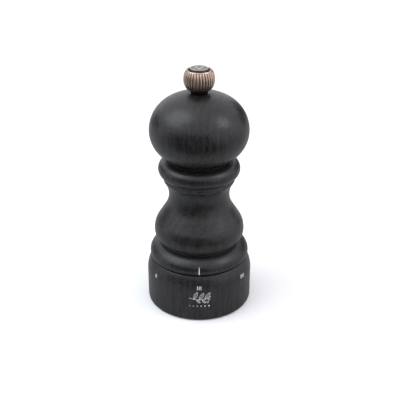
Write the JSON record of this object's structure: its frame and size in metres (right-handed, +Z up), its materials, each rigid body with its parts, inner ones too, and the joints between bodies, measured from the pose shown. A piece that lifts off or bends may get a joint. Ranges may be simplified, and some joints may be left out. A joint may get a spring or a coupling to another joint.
{
  "type": "pepper mill",
  "caption": "Turned wooden pepper mill with a ball-shaped head, a ribbed metal knob and a setting ring at its base that raises and lowers the outer burr.",
  "frame": {"origin": "centre of the base, on the surface that the mill stands on", "axes": "+Z up along the spindle, -Y the front with the pointer line, +X to the right seen from the front"},
  "size_m": [0.0524, 0.0525, 0.12],
  "materials": {
    "stained_wood": "black stain under matt lacquer",
    "white_print": "white pad print",
    "black_plastic": "moulded, satin",
    "nylon": "natural nylon",
    "collar_plastic": "moulded black, satin",
    "burr_steel": "case-hardened, machined",
    "shaft_steel": "drawn bar",
    "plated_steel": "bright zinc plated",
    "spring_steel": "polished",
    "bearing_brass": "turned brass",
    "bronze_plate": "antique copper plating, brushed on the ribs",
    "disc_steel": "satin steel disc"
  },
  "bodies": {
    "mill_body": {"wooden_body": "stained_wood", "pointer_mark": "white_print", "mechanism_housing": "black_plastic", "housing_screws": "plated_steel", "detent_ball": "spring_steel", "detent_spring": "spring_steel", "bridge": "plated_steel", "bridge_bush": "bearing_brass", "thrust_washer": "nylon"},
    "adjusting_ring": {"wooden_ring": "stained_wood", "setting_marks": "white_print", "ring_emblem": "white_print", "adjusting_insert": "black_plastic", "retaining_ring": "black_plastic"},
    "burr_carrier_group": {"burr_carrier": "black_plastic", "outer_burr": "burr_steel", "outer_burr_clip": "spring_steel"},
    "spindle": {"shaft": "shaft_steel", "inner_burr": "burr_steel", "burr_spring": "spring_steel", "burr_washer": "plated_steel", "burr_nut": "bearing_brass"},
    "head": {"wooden_head": "stained_wood", "drive_plate": "plated_steel", "drive_plate_screws": "plated_steel", "head_ferrule": "plated_steel"},
    "knob_collar": {"knob_washer": "collar_plastic"},
    "knob": {"knob_insert": "collar_plastic", "knob_shell": "bronze_plate", "knob_cap": "disc_steel"}
  },
  "joints": [
    {"name": "ring_turn", "type": "hinge", "parent": "mill_body", "child": "adjusting_ring", "pos_m": [0, 0, 0.0222], "axis": [0, 0, 1], "range_deg": [-165, 110]},
    {"name": "burr_lift", "type": "slide", "parent": "mill_body", "child": "burr_carrier_group", "axis": [0, 0, 1], "range_m": [-0.00061, 0.00092]},
    {"name": "head_turn", "type": "hinge", "parent": "mill_body", "child": "spindle", "pos_m": [0, 0, 0.0255], "axis": [0, 0, 1], "continuous": true},
    {"name": "head_lift", "type": "slide", "parent": "spindle", "child": "head", "axis": [0, 0, 1], "range_m": [0, 0.05]},
    {"name": "knob_lift", "type": "slide", "parent": "head", "child": "knob_collar", "axis": [0, 0, 1], "range_m": [0, 0.0063]},
    {"name": "knob_turn", "type": "hinge", "parent": "knob_collar", "child": "knob", "pos_m": [0, 0, 0.109], "axis": [0, 0, 1], "range_deg": [0, 3245]}
  ],
  "couplings": [
    {"joint": "ring_turn", "follows": "burr_lift", "rad_per_m": -3141.6},
    {"joint": "knob_turn", "follows": "knob_lift", "rad_per_m": 8976}
  ]
}
